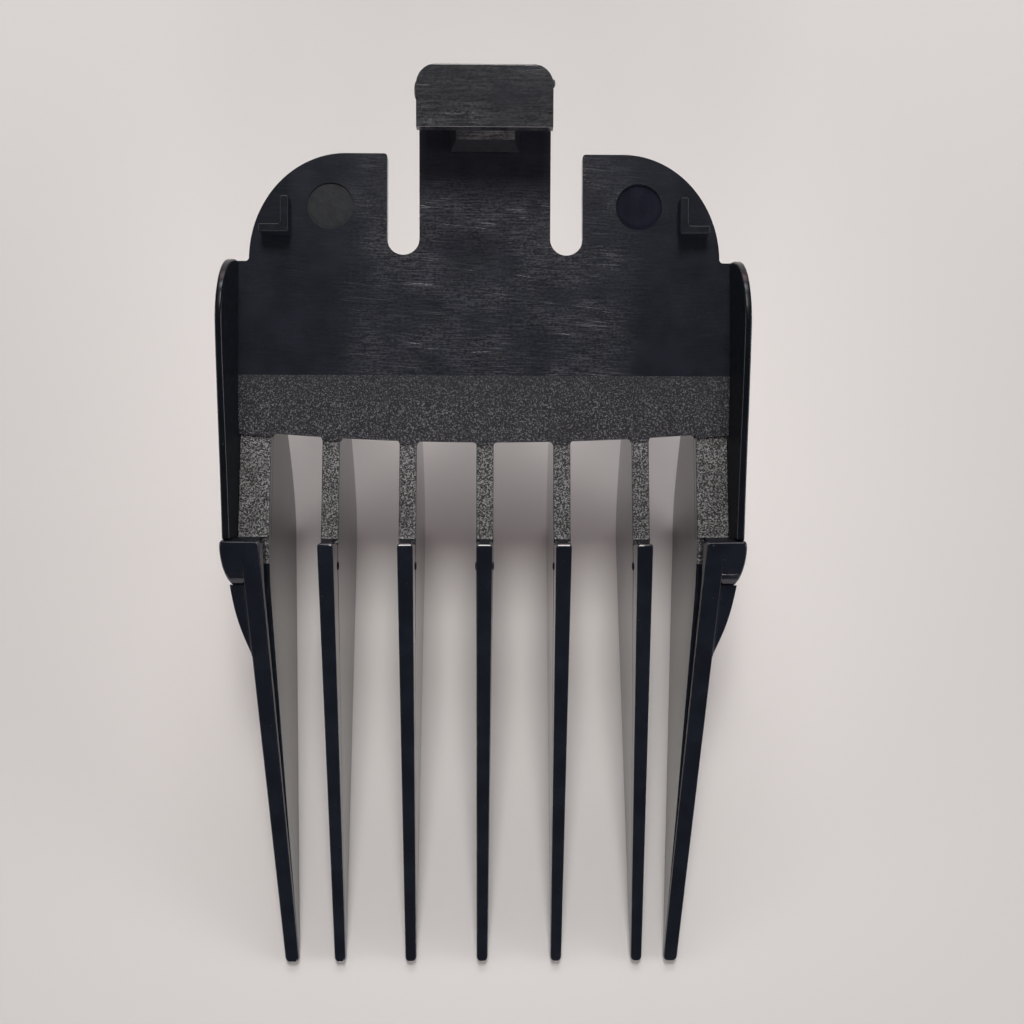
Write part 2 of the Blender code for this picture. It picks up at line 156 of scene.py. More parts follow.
# Soft lights: degrees from vertical, heading from the hook's side towards the right, distance
# and size in metres, power in watts, colour
LIGHTS = {
    "window": (32.5, 0, 1.0, (0.26, 0.36), 5.7, (1, 0.985, 0.955)),
    "window_low": (57, 0, 1.5, (0.72, 0.26), 7.0, (0.97, 0.98, 1)),
    "far_wall": (77, 0, 2.0, (1.2, 0.6), 9.5, (1, 0.72, 0.74)),
    "right_wall": (77, 90, 2.0, (1.2, 0.7), 21.5, (1, 0.97, 0.97)),
    "left_wall": (77, -90, 2.0, (1.2, 0.7), 12.5, (1, 0.95, 0.93)),
    "near_wall": (77, 180, 2.0, (0.8, 0.3), 28, (1, 0.90, 0.90)),
}
ROOM_LIGHT = 0.03
FLOOR_HALF_SIZE = 1.5  # metres
FLOOR_PAINTED_FALLOFF = (15, 75)  # from its middle, in millimetres, where painted shade darkens the sheet towards its edges


# ---------------------------------------------------------------- seat frame


def seat_matrix(record):
    """From seat-frame millimetres to the row frame."""
    mount = next(m for m in record["mounts"] if m["name"] == "blade_seat")
    up = Vector(mount["axis"]).normalized()
    across = Vector((1, 0, 0))
    along = up.cross(across)
    origin = Vector(mount["pos_m"]) - along * SEAT_MOUNT_V * MM
    turn = Matrix((across, along, up)).transposed()
    return Matrix.Translation(origin) @ turn.to_4x4() @ Matrix.Scale(MM, 4)


def seat_corners(node):
    """A CAD node's corners in the seat frame, in millimetres."""
    return [TO_SEAT @ vert.co for vert in frame["nodes"][node].data.vertices]


def seat_box(node):
    """A CAD node's lowest and highest corner in the seat frame, in millimetres."""
    corners = seat_corners(node)
    low = [min(corner[axis] for corner in corners) for axis in range(3)]
    high = [max(corner[axis] for corner in corners) for axis in range(3)]
    return Vector(low), Vector(high)


# ---------------------------------------------------------------- shapes


def arc(centre, radii, start_deg, end_deg, steps):
    """Points along an ellipse's arc, both ends included."""
    points = []
    for i in range(steps + 1):
        angle = math.radians(start_deg + (end_deg - start_deg) * i / steps)
        x = centre[0] + radii[0] * math.cos(angle)
        y = centre[1] + radii[1] * math.sin(angle)
        points.append((x, y))
    return points


def bezier(p0, p1, p2, p3, steps):
    """Points along a cubic curve, both ends included."""
    points = []
    for i in range(steps + 1):
        t = i / steps
        weights = ((1 - t) ** 3, 3 * (1 - t) ** 2 * t, 3 * (1 - t) * t**2, t**3)
        weighted = list(zip(weights, (p0, p1, p2, p3)))
        points.append(tuple(sum(w * p[axis] for w, p in weighted) for axis in (0, 1)))
    return points


def fillet(before, corner, after, radius, steps=ARC_STEPS):
    """The arc that rounds a corner between two straight edges."""
    here = Vector(corner)
    back = Vector(before) - here
    on = Vector(after) - here
    half = back.angle(on) / 2
    reach = min(radius / math.tan(half), 0.48 * back.length, 0.48 * on.length)
    radius = reach * math.tan(half)
    middle = here + (back.normalized() + on.normalized()).normalized() * radius / math.sin(half)
    start = here + back.normalized() * reach - middle
    end = here + on.normalized() * reach - middle
    sweep = math.atan2(start.x * end.y - start.y * end.x, start.dot(end))
    points = []
    for i in range(steps + 1):
        turned = Matrix.Rotation(sweep * i / steps, 2) @ start
        points.append(tuple(middle + turned))
    return points


def rounded(corners, steps=ARC_STEPS):
    """A closed outline from (x, y, radius) corners."""
    points = []
    count = len(corners)
    for i, (x, y, radius) in enumerate(corners):
        if radius:
            before = corners[i - 1][:2]
            after = corners[(i + 1) % count][:2]
            points += fillet(before, (x, y), after, radius, steps)
        else:
            points.append((x, y))
    return points


def between(v, start, end):
    """The height at v on the straight line from start to end."""
    return start[1] + (end[1] - start[1]) * (v - start[0]) / (end[0] - start[0])


def height_on(v, path):
    """The height at v on a path of (v, w) points that run forwards in v."""
    for start, end in zip(path, path[1:]):
        if v <= end[0]:
            return between(max(v, start[0]), start, end)
    return path[-1][1]


def face_outwards(bm):
    """Turns every face of a closed shape outwards."""
    bmesh.ops.recalc_face_normals(bm, faces=bm.faces)
    if bm.calc_volume(signed=True) < 0:
        bmesh.ops.reverse_faces(bm, faces=bm.faces)


def prism(corners, offset):
    """A closed solid: a flat polygon of 3-D corners, swept by offset."""
    bm = bmesh.new()
    face = bm.faces.new([bm.verts.new(corner) for corner in corners])
    swept = bmesh.ops.extrude_face_region(bm, geom=[face])["geom"]
    moved = [item for item in swept if isinstance(item, bmesh.types.BMVert)]
    bmesh.ops.translate(bm, verts=moved, vec=offset)
    face_outwards(bm)
    return bm


def plan_prism(outline, low, high):
    """An outline in x and v, standing from w = low to w = high."""
    return prism([(x, v, low) for x, v in outline], (0, 0, high - low))


def side_prism(profile, start_x, end_x):
    """A profile in v and w, running from x = start_x to x = end_x."""
    return prism([(start_x, v, w) for v, w in profile], (end_x - start_x, 0, 0))


def loft(rings):
    """A closed solid through a row of rings that have equally many points."""
    bm = bmesh.new()
    rows = [[bm.verts.new(point) for point in ring] for ring in rings]
    for near, far in zip(rows, rows[1:]):
        for i in range(len(near)):
            j = (i + 1) % len(near)
            bm.faces.new((near[i], near[j], far[j], far[i]))
    bm.faces.new(reversed(rows[0]))
    bm.faces.new(rows[-1])
    face_outwards(bm)
    return bm


def combine(target, tool, operation):
    """A Boolean of two closed shapes; both are used up."""
    made = []
    for bm in (target, tool):
        mesh = bpy.data.meshes.new("combine")
        bm.to_mesh(mesh)
        bm.free()
        made.append(bpy.data.objects.new("combine", mesh))
        bpy.context.scene.collection.objects.link(made[-1])
    cut = made[0].modifiers.new("combine", "BOOLEAN")
    cut.operation = operation
    cut.solver = "EXACT"
    cut.object = made[1]
    graph = bpy.context.evaluated_depsgraph_get()
    result = bmesh.new()
    result.from_mesh(made[0].evaluated_get(graph).to_mesh())
    for leftover in made:
        bpy.data.objects.remove(leftover)
    return result


def soften(bm, radius=EDGE_RADIUS, segments=3, sharpest_deg=30, skip=None):
    """Rounds every edge that is sharper than sharpest_deg, except those that skip names."""
    limit = math.radians(sharpest_deg)
    edges = [e for e in bm.edges if e.is_manifold and e.calc_face_angle(0) > limit]
    if skip:
        edges = [e for e in edges if not skip(e)]
    bmesh.ops.bevel(
        bm,
        geom=edges,
        offset=radius,
        offset_type="OFFSET",
        segments=segments,
        profile=0.5,
        affect="EDGES",
        clamp_overlap=True,
    )


def slice_along(bm, axis, places):
    """Cuts a shape's faces where its coordinate on the axis reaches each place."""
    normal = Vector((0, 0, 0))
    normal[axis] = 1
    for place in places:
        everything = bm.verts[:] + bm.edges[:] + bm.faces[:]
        bmesh.ops.bisect_plane(bm, geom=everything, plane_co=normal * place, plane_no=normal)


def shading_normals(bm):
    """A normal for each face corner: its neighbours' average by area, unless they turn sharply."""
    sharp = math.cos(math.radians(SHARP_DEG))
    turn = TO_ROW.to_3x3().normalized()
    areas = {face: face.calc_area() for face in bm.faces}
    normals = []
    for face in bm.faces:
        for vert in face.verts:
            smooth = [other for other in vert.link_faces if other.normal.dot(face.normal) > sharp]
            total = sum((other.normal * areas[other] for other in smooth), Vector())
            normals.append(turn @ (total.normalized() if total.length > 1e-12 else face.normal))
    return normals


def add_piece(name, bm, materials, body="comb", rides=True):
    """Turns a shape in seat-frame millimetres into a piece that rides on its body."""
    bmesh.ops.remove_doubles(bm, verts=bm.verts, dist=1e-5)
    face_outwards(bm)
    normals = shading_normals(bm)
    bm.transform(TO_ROW)
    mesh = bpy.data.meshes.new(name)
    bm.to_mesh(mesh)
    bm.free()
    mesh.shade_smooth()
    mesh.normals_split_custom_set(normals)
    for material in materials:
        mesh.materials.append(material)
    piece = bpy.data.objects.new(name, mesh)
    bpy.context.scene.collection.objects.link(piece)
    if rides:
        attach(piece, body)
    return piece


def side_name(name, side):
    return f"{name}_{'left' if side == LEFT else 'right'}"


# ---------------------------------------------------------------- teeth: measures


def band_front_v(x):
    """The band's bowed front edge."""
    return BAND_FRONT_V + BAND_BOW * (x / BAND_BOW_X) ** 2


def band_top_w(v):
    """Height of the band's top: down from the plate to the band's front edge."""
    return -BAND_DROP * min(1, max(0, (BAND_REAR_V - v) / (BAND_REAR_V - BAND_FRONT_V)))


class Tooth:
    """Where a tooth's faces run, measured on its CAD node."""

    def __init__(self, node):
        self.node = node
        corners = seat_corners(node)
        self.tip_v = min(c.y for c in corners) + INSIDE_CAD
        self.rear_v = max(c.y for c in corners)
        tip = [c for c in corners if c.y < self.tip_v + 0.01]
        root = [c for c in corners if c.y > STEP_FOOT[0]]
        self.tip_top = max(c.z for c in tip)
        self.tip_bottom = min(c.z for c in tip)
        self.step_top = max(c.z for c in corners)
        self.rib_root = self.span(corners, self.step_top)
        self.rib_tip = self.span(tip, self.tip_top)
        self.fin_root = (min(c.x for c in root), max(c.x for c in root))
        self.fin_tip = self.span(tip, self.tip_bottom)
        self.step_v = OUTER_STEP_V if self.side() else INNER_STEP_V
        self.foot = (STEP_FOOT[0] + self.step_v, STEP_FOOT[1])

    def span(self, corners, height):
        """The lowest and highest x of the corners at one height."""
        xs = [c.x for c in corners if abs(c.z - height) < 0.01]
        return min(xs), max(xs)

    def spread(self, root, tip, v):
        """A span at v, between its root at the step and its tip."""
        share = min(1, max(0, v / self.tip_v))
        return tuple(r + (t - r) * share for r, t in zip(root, tip))

    def rib(self, v):
        return self.spread(self.rib_root, self.rib_tip, v)

    def fin(self, v):
        return self.spread(self.fin_root, self.fin_tip, v)

    def side(self):
        """LEFT or RIGHT for an outer tooth, 0 for an inner one."""
        if self.fin_root[0] < -20:
            return LEFT
        return RIGHT if self.fin_root[1] > 20 else 0


def top_path(tooth):
    """Side view of a tooth's top: the rib, its step, and the grained top that runs in under the band."""
    end_v = BAND_FRONT_V + BAND_BOW + INTO_WALL
    end_w = -BAND_DROP - FIN_TOP_DROP
    rib = (tooth.tip_v, tooth.tip_top)
    step = (tooth.step_v, tooth.step_top)
    end = (end_v, end_w)
    path = [rib]
    path += fillet(rib, step, tooth.foot, STEP_EDGE_RADIUS, 4)
    path += fillet(step, tooth.foot, end, STEP_EDGE_RADIUS, 3)
    return path + [end]


def belly_path(tooth):
    """Side view of a tooth's underside: the skin edge, and the curve from the heel up to the plate."""
    tip = (tooth.tip_v, tooth.tip_bottom)
    slope = (HEEL[1] - tip[1]) / (HEEL[0] - tip[0])
    pull = (HEEL[0] + BELLY_PULL, HEEL[1] + BELLY_PULL * slope)
    rear = (tooth.rear_v, -PLATE_THICKNESS - 0.1)
    return [tip] + bezier(HEEL, pull, BELLY_SHOULDER, rear, 28)


def ledge_w(tooth, v):
    """Height of the ledge where the rib stands on the fin."""
    middle_of_tip = (tooth.tip_top + tooth.tip_bottom) / 2
    path = [(tooth.tip_v, middle_of_tip), LEDGE_KNEE, LEDGE_START]
    height = height_on(v, path)
    if tooth.side():
        height += height_on(v, [(tooth.tip_v, 0), *OUTER_LEDGE])
    return height


def nose_inset(distance, radius):
    """How far a rounded nose has drawn in, at a distance from its end."""
    if distance >= radius:
        return 0
    return radius - math.sqrt(max(0, radius**2 - (radius - distance) ** 2))


# ---------------------------------------------------------------- teeth: meshes


def tooth_section(tooth, v, top, bottom):
    """Cross-section of a tooth: a rounded rib on a wider fin, with a ledge on each side."""
    fin_left, fin_right = tooth.fin(v)
    rib_left, rib_right = tooth.rib(v)
    ledge = ledge_w(tooth, v)
    if v > tooth.foot[0]:
        rib_left, rib_right = fin_left + HAIR, fin_right - HAIR
        ledge = top - 0.3
        if tooth.side() and top > -PLATE_THICKNESS:
            ledge = top - PLATE_THICKNESS
            wall = SEAT_HALF_WIDTH + INTO_WALL
            rib_left = -wall if tooth.side() == LEFT else rib_left
            rib_right = wall if tooth.side() == RIGHT else rib_right
    inset = nose_inset(v - tooth.tip_v, TIP_NOSE_RADIUS)
    corner = nose_inset(max(0, tooth.step_v - v), STEP_CORNER_RADIUS)
    if v > tooth.foot[0]:
        corner = 0
    draft = RIB_DRAFT if v <= tooth.foot[0] else 0
    fin_in = inset * TIP_NARROWING
    rib_in = fin_in + corner
    bottom += inset * TIP_LIFT
    ledge = min(max(ledge, bottom + FIN_LEAST), top - RIB_LEAST)
    corners = [
        (fin_left + fin_in, bottom, FIN_EDGE_RADIUS),
        (fin_right - fin_in, bottom, FIN_EDGE_RADIUS),
        (fin_right - fin_in, ledge - LEDGE_DROP, LEDGE_EDGE_RADIUS),
        (min(rib_right - rib_in + draft, fin_right - fin_in - 0.01), ledge, LEDGE_EDGE_RADIUS),
        (rib_right - rib_in, top, RIB_EDGE_RADIUS),
        (rib_left + rib_in, top, RIB_EDGE_RADIUS),
        (max(rib_left + rib_in - draft, fin_left + fin_in + 0.01), ledge, LEDGE_EDGE_RADIUS),
        (fin_left + fin_in, ledge - LEDGE_DROP, LEDGE_EDGE_RADIUS),
    ]
    return [(x, v, w) for x, w in rounded(corners, 3)]


def tooth_stations(tooth, shoulder_v):
    """Where along a tooth its cross-sections are taken."""
    nose = [1 - math.cos(math.radians(a)) for a in range(0, 91, 15)]
    corner = [1 - math.sin(math.radians(a)) for a in range(0, 90, 18)]
    stations = [tooth.tip_v + TIP_NOSE_RADIUS * share for share in nose]
    stations += [tooth.step_v - STEP_CORNER_RADIUS * share for share in corner]
    stations += [tooth.tip_v * i / 24 for i in range(1, 24)]
    stations += [v for v, _ in top_path(tooth) if v < shoulder_v]
    stations += [v for v, _ in belly_path(tooth)]
    stations += [LEDGE_START[0], tooth.foot[0] + 0.01, shoulder_v, shoulder_v + 0.02]
    tidy = []
    for v in sorted(stations):
        if not tidy or v - tidy[-1] > HAIR:
            tidy.append(v)
    return tidy


def paint_tooth(bm, shoulder_v):
    """Gives a tooth's seat-level tops its second material, and the face of its step the third."""
    bm.normal_update()
    for face in bm.faces:
        middle = face.calc_center_median()
        on_top = face.normal.z > 0.6 and middle.z < 0.45
        if on_top and LEDGE_START[0] < middle.y < shoulder_v:
            face.material_index = 1
        if face.normal.y > STEEP and middle.y > 0:
            face.material_index = 2


def add_tooth(tooth, materials):
    """A deep fin with its rib, step and grained top."""
    shoulder_v = band_front_v(tooth.rib_root[0]) + INTO_WALL
    tops = top_path(tooth)
    belly = belly_path(tooth)
    rings = []
    for v in tooth_stations(tooth, shoulder_v):
        top = height_on(v, tops)
        if v > shoulder_v:
            top = band_top_w(v) - PLATE_THICKNESS + INTO_WALL
        bottom = min(height_on(v, belly), top - TOOTH_LEAST)
        rings.append(tooth_section(tooth, v, top, bottom))
    bm = loft(rings)
    paint_tooth(bm, shoulder_v)
    piece = add_piece(f"{tooth.node}_moulding", bm, materials)
    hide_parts(tooth.node)


def add_nubs(tooth, smooth):
    """The two nubs of flash beside a rib, where the grain ends."""
    left, right = tooth.fin(LEDGE_START[0])
    bm = bmesh.new()
    for x in (left, right):
        ball = bmesh.ops.create_icosphere(bm, subdivisions=3, radius=1)["verts"]
        bmesh.ops.scale(bm, verts=ball, vec=NUB_SIZE)
        place = (x, LEDGE_START[0] - NUB_SIZE[1] / 2, LEDGE_START[1] - NUB_SIZE[2])
        bmesh.ops.translate(bm, verts=ball, vec=place)
    piece = add_piece(f"{tooth.node}_flash_nubs", bm, (smooth,))


# ---------------------------------------------------------------- plate and band


def front_outline(teeth):
    """The band's front edge from left to right: bowed, with a fillet at each tooth's side."""
    r = FRONT_FILLET
    wall = SEAT_HALF_WIDTH + INTO_WALL
    points = [(-wall, band_front_v(wall) - r)]
    for tooth, following in zip(teeth, teeth[1:]):
        start = tooth.fin(1)[1]
        end = following.fin(1)[0]
        points += arc((start + r, band_front_v(start + r) - r), (r, r), 180, 90, ARC_STEPS)
        for i in range(1, 6):
            x = start + r + (end - start - 2 * r) * i / 6
            points.append((x, band_front_v(x)))
        points += arc((end - r, band_front_v(end - r) - r), (r, r), 90, 0, ARC_STEPS)
    return points + [(wall, band_front_v(wall) - r)]


def slot_arc(from_deg, to_v, steps):
    """Along a slot's round bottom, from an angle to the level v = to_v on the tongue's side."""
    centre = (SLOT_CENTRE_X, SLOT_BOTTOM_V + SLOT_RADIUS)
    below_centre = math.degrees(math.asin((centre[1] - to_v) / SLOT_RADIUS))
    return arc(centre, (SLOT_RADIUS, SLOT_RADIUS), from_deg, below_centre - 180, steps)


def rear_half_outline():
    """The right half of the plate's rim, from the cheek round the lobe into the slot."""
    r = SHOULDER_FILLET
    wall = SEAT_HALF_WIDTH + INTO_WALL
    lobe_side = LOBE_CENTRE[0] + LOBE_RADII[0]
    slot_outer = SLOT_CENTRE_X + SLOT_RADIUS
    shoulder_v = CHEEK_REAR_V - SHOULDER_INSET
    points = [(wall, shoulder_v)]
    points += arc((lobe_side + r, shoulder_v + r), (r, r), 270, 180, ARC_STEPS)
    points += arc(LOBE_CENTRE, LOBE_RADII, 3, 90, 44)
    lobe_top = (LOBE_CENTRE[0], PLATE_REAR_V)
    mouth = (slot_outer, PLATE_REAR_V)
    slot_bottom = (slot_outer, SLOT_BOTTOM_V)
    points += fillet(lobe_top, mouth, slot_bottom, SLOT_MOUTH_RADIUS)
    points += slot_arc(0, SPLIT_V, 20)
    return points


def pin_mark(side):
    """The round recess that an ejector pin leaves in a lobe."""
    depth = PIN_MARK_DEPTH * (PIN_MARK_LEFT_SHARE if side == LEFT else 1)
    centre_x = side * PIN_MARK_CENTRE[0]
    circle = arc((centre_x, PIN_MARK_CENTRE[1]), (PIN_MARK_RADIUS, PIN_MARK_RADIUS), 0, 360, 64)[:-1]
    return plan_prism(circle, -depth, 1)


def on_split(edge):
    """Whether an edge lies where the plate passes into the tongue."""
    return all(abs(vert.co.y - SPLIT_V) < 1e-4 for vert in edge.verts)


def add_seat_plate(teeth, materials):
    """Plate and band in one: the flat seat, its lobes and slots, and the grained strip."""
    rear = rear_half_outline()
    outline = front_outline(teeth) + rear + [(-x, v) for x, v in reversed(rear)]
    bm = plan_prism(outline, -PLATE_THICKNESS, 0)
    for side in (LEFT, RIGHT):
        bm = combine(bm, pin_mark(side), "DIFFERENCE")
    slice_along(bm, 1, (BAND_FRONT_V, BAND_REAR_V))
    for vert in bm.verts:
        vert.co.z += band_top_w(vert.co.y)
    bm.normal_update()
    soften(bm, skip=on_split)
    for face in bm.faces:
        middle = face.calc_center_median()
        from_mark = math.dist((abs(middle.x), middle.y), PIN_MARK_CENTRE)
        if middle.y < BAND_REAR_V:
            face.material_index = 1
        elif from_mark < PIN_MARK_RADIUS and abs(middle.z) < 1:
            face.material_index = 2 if middle.x < 0 else 3
    piece = add_piece("seat_plate", bm, materials)
    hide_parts("base_plate", "blend_band")


# ---------------------------------------------------------------- cheeks, bosses, ribs


def paint_steep(bm, axis, towards=1):
    """Gives faces that look along an axis the piece's second material."""
    bm.normal_update()
    for face in bm.faces:
        if face.normal[axis] * towards > STEEP:
            face.material_index = 1


def add_cheek(side, materials):
    """A side wall that centres the blade, with a rounded rear end."""
    low, high = seat_box(side_name("cheek", side))
    peak = (CHEEK_PEAK_V, high.z)
    under = -PLATE_THICKNESS - CHEEK_UNDER
    profile = [(CHEEK_FRONT[0], under)]
    profile += bezier(CHEEK_FRONT, *CHEEK_RISE, peak, 20)[:-1]
    profile += arc((CHEEK_PEAK_V, 0), (high.y - CHEEK_PEAK_V, high.z), 90, 0, 22)
    profile += [(high.y, under), (BAND_REAR_V, under), (BAND_FRONT_V, under - BAND_DROP)]
    outer_x = max(abs(low.x), abs(high.x))
    bm = side_prism(profile, side * SEAT_HALF_WIDTH, side * outer_x)
    for vert in bm.verts:
        if abs(vert.co.x) < SEAT_HALF_WIDTH + 0.01:
            vert.co.x += side * CHEEK_LEAN * max(vert.co.z, 0) / high.z
    bm.normal_update()
    soften(bm, radius=CHEEK_EDGE_RADIUS, segments=4)
    paint_steep(bm, 0, -side)
    piece = add_piece(side_name("cheek_wall", side), bm, materials)
    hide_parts(side_name("cheek", side))


def boss_top_path(tooth):
    """Side view of a boss's top: a rounded front, the line of the rib, and the step's slanted face."""
    rib = ((tooth.tip_v, tooth.tip_top), (tooth.step_v, tooth.step_top - HAIR))
    front = [(v, between(v, *rib) - drop) for v, drop in reversed(BOSS_FALL)]
    foot = (BOSS_REAR_CURVE[-1][0], BOSS_FOOT_W)
    return front + fillet(front[-1], rib[1], foot, STEP_EDGE_RADIUS, 4) + [foot]


def add_finger_boss(tooth, materials):
    """The thick end of a cheek, level with the outer tooth's step."""
    side = tooth.side()
    tops = boss_top_path(tooth)
    plan = bezier(*BOSS_FRONT_CURVE, 18) + bezier(*BOSS_REAR_CURVE, 6)[1:]
    stations = sorted({v for v, _ in tops} | {v for v, _ in plan})
    rings = []
    for v in stations:
        rib = tooth.rib(v)
        inner = (rib[1] if side == RIGHT else -rib[0]) - BOSS_INTO_RIB
        outer = height_on(v, plan)
        top = height_on(v, tops)
        corners = [(inner, BOSS_BOTTOM_W, 0.1), (outer, BOSS_BOTTOM_W, BOSS_UNDER_RADIUS)]
        corners += [(outer, top, BOSS_TOP_RADIUS), (inner, top, 0.02)]
        rings.append([(side * x, v, w) for x, w in rounded(corners, 4)])
    bm = loft(rings)
    soften(bm, radius=0.1, segments=2, sharpest_deg=60)
    paint_steep(bm, 1)
    piece = add_piece(side_name("finger_boss_moulding", side), bm, materials)
    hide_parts(side_name("finger_boss", side))


def outer_face_x(tooth, v):
    """How far out an outer tooth's outer side is at v."""
    left, right = tooth.fin(v)
    return right if tooth.side() == RIGHT else -left


def gusset_section(tooth, share, start_v):
    """Cross-section of a gusset, at a share of the way from the boss to its end."""
    v = start_v + (GUSSET_END_V - start_v) * share
    face = outer_face_x(tooth, v)
    start_width = GUSSET_START_X - outer_face_x(tooth, start_v)
    bulge = GUSSET_BULGE * math.sin(math.pi * share)
    outer = face + start_width + (GUSSET_END_WIDTH - start_width) * share + bulge
    rib_top = between(v, (tooth.tip_v, tooth.tip_top), (0, tooth.step_top))
    top = rib_top - GUSSET_DROP
    fillet_top = rib_top - GUSSET_FILLET_DROP
    end_bottom = top - GUSSET_END_HEIGHT
    bottom = GUSSET_BOTTOM_W + (end_bottom - GUSSET_BOTTOM_W) * share**2
    fillet_width = min(GUSSET_FILLET_WIDTH, (outer - face) * 0.6)
    inner = face - 0.3
    corners = [
        (inner, bottom, 0.05),
        (outer, bottom, 0.08),
        (outer, top, 0.06),
        (face + fillet_width, top + 0.02, 0.05),
        (face, fillet_top, 0.05),
        (inner, fillet_top, 0.05),
    ]
    return [(tooth.side() * x, v, w) for x, w in rounded(corners, 3)]


def add_gusset(tooth, smooth):
    """The web that carries a boss's load into the outer tooth, with a steep fillet at the rib."""
    start_v = BOSS_FRONT_CURVE[0][0] + INTO_WALL
    shares = [i / GUSSET_STEPS for i in range(GUSSET_STEPS + 1)]
    bm = loft([gusset_section(tooth, share, start_v) for share in shares])
    side = tooth.side()
    piece = add_piece(side_name("gusset_web", side), bm, (smooth,))
    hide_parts(side_name("gusset", side))


def add_locating_rib(side, smooth):
    """An L rib that holds a rear corner of the blade, with a soft foot where it grows from the plate."""
    low, high = seat_box(side_name("locating_rib", side))
    thick = LOCATING_RIB_THICK
    inner = low.x if side == RIGHT else -high.x
    outer = high.x if side == RIGHT else -low.x
    outline = [
        (inner, low.y, 0.12),
        (outer, low.y, 0.16),
        (outer, low.y + thick, 0.16),
        (inner + thick, low.y + thick, 0.2),
        (inner + thick, high.y, 0.16),
        (inner, high.y, 0.16),
    ]
    flat = [(side * x, v) for x, v in rounded(outline, 4)]
    bm = plan_prism(flat, -0.3, high.z)
    soften(bm, radius=0.22, segments=4, sharpest_deg=60)
    piece = add_piece(side_name("blade_rib", side), bm, (smooth,))
    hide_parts(side_name("locating_rib", side))


# ---------------------------------------------------------------- spring latch


def hook_profile():
    """Side view of tongue, riser and lip in one line, as (v, w, radius) corners."""
    inner_v = HOOK_REAR_V - HOOK_WALL
    lip_under_w = LIP_TOP_W - HOOK_WALL
    return [
        (SPLIT_V, -PLATE_THICKNESS, 0),
        (HOOK_REAR_V, -PLATE_THICKNESS, HOOK_HEEL_RADIUS),
        (HOOK_REAR_V, LIP_TOP_W, LIP_EDGE_RADIUS),
        (LIP_FRONT_V, LIP_TOP_W, LIP_FRONT_RADIUS),
        (LIP_FRONT_V, lip_under_w, LIP_EDGE_RADIUS),
        (inner_v, lip_under_w, HOOK_INNER_RADIUS),
        (inner_v, 0, HOOK_INNER_RADIUS),
        (SPLIT_V, 0, 0),
    ]


def hook_plan():
    """Plan view of tongue and hook: flared root between the slots, rounded rear corners."""
    radius = HOOK_CORNER_RADIUS
    corner = arc((TONGUE_HALF_WIDTH - radius, HOOK_REAR_V - radius), (radius, radius), 0, 90, 16)
    half = list(reversed(slot_arc(-180, SPLIT_V, 12))) + corner
    return half + [(-x, v) for x, v in reversed(half)]


def add_spring_latch(materials):
    """Tongue, riser and lip: one springy strip that folds back over the blade."""
    wide = SLOT_CENTRE_X + SLOT_RADIUS
    body = side_prism(rounded(hook_profile(), 6), -wide, wide)
    bm = combine(body, plan_prism(hook_plan(), -PLATE_THICKNESS - 1, LIP_TOP_W + 1), "INTERSECT")
    soften(bm, radius=0.1, segments=3, skip=on_split)
    slice_along(bm, 1, [SPLIT_V + BEND_SLICE * i for i in range(1, BEND_CUTS + 1)])
    for face in bm.faces:
        if face.calc_center_median().z > LIP_TOP_W - HOOK_WALL:
            face.material_index = 1
    piece = add_piece("spring_latch", bm, materials, rides=False)
    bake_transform(piece)
    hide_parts("spring_tongue", "latch_riser", "latch_lip")


def add_latch_pad(materials):
    """The wedge under the lip's edge that presses the blade up against it; its top is worn, and painted
    lighter with a sheen.
    """
    low, high = seat_box("latch_pad")
    rings = []
    for share in (-0.2, 1.0):
        left = low.x + PAD_SLOPE_SIDES[0] * share
        right = high.x - PAD_SLOPE_SIDES[1] * share
        front = low.y + PAD_SLOPE_FRONT * share
        w = high.z * share
        rings.append([(left, front, w), (right, front, w), (right, high.y, w), (left, high.y, w)])
    bm = loft(rings)
    soften(bm, radius=0.1, segments=3)
    paint_steep(bm, 2)
    piece = add_piece("latch_pad_wedge", bm, materials, body="latch")
    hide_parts("latch_pad")


def add_lip_flash(brushed):
    """Thin flash left at the mould's parting line on both sides of the lip."""
    bm = bmesh.new()
    for side, v, length in FLASH:
        ball = bmesh.ops.create_icosphere(bm, subdivisions=3, radius=1)["verts"]
        bmesh.ops.scale(bm, verts=ball, vec=(FLASH_HEIGHT, length, FLASH_THICK))
        place = (side * TONGUE_HALF_WIDTH, v, LIP_TOP_W - HOOK_WALL / 2)
        bmesh.ops.translate(bm, verts=ball, vec=place)
    piece = add_piece("lip_flash", bm, (brushed,), body="latch")


# ---------------------------------------------------------------- materials


